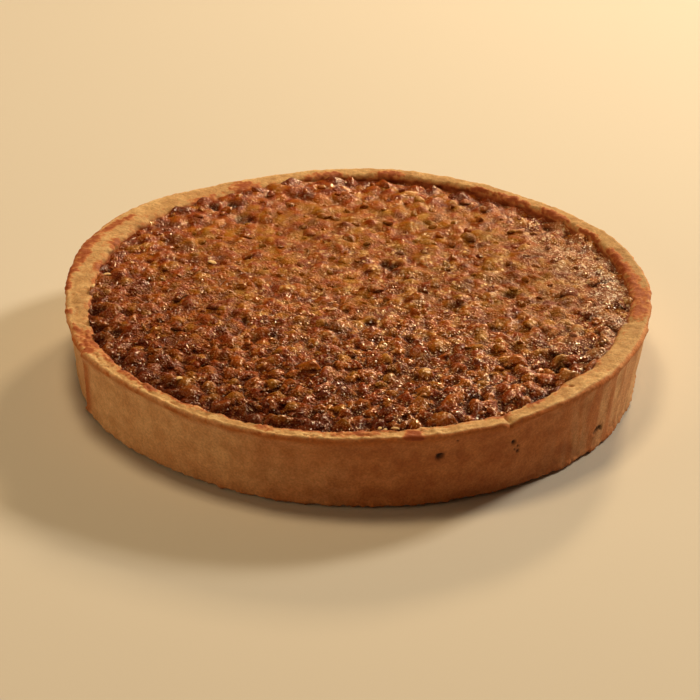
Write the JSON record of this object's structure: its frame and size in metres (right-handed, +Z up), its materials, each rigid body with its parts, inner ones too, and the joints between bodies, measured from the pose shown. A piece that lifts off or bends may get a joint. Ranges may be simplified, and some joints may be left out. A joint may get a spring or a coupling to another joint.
{
  "type": "walnut pie",
  "caption": "Whole round walnut pie: a straight-sided shortcrust case filled level with chopped walnuts in caramel.",
  "frame": {"origin": "middle of the flat underside, on the surface that the pie stands on", "axes": "+Z up; -Y towards the side that the picture shows; +X to its right"},
  "size_m": [0.2306, 0.2315, 0.0361],
  "materials": {
    "pastry": "matt baked shortcrust",
    "filling": "glossy caramel over walnuts"
  },
  "bodies": {
    "root": {"pastry_case": "pastry", "walnut_filling": "filling"}
  },
  "joints": []
}
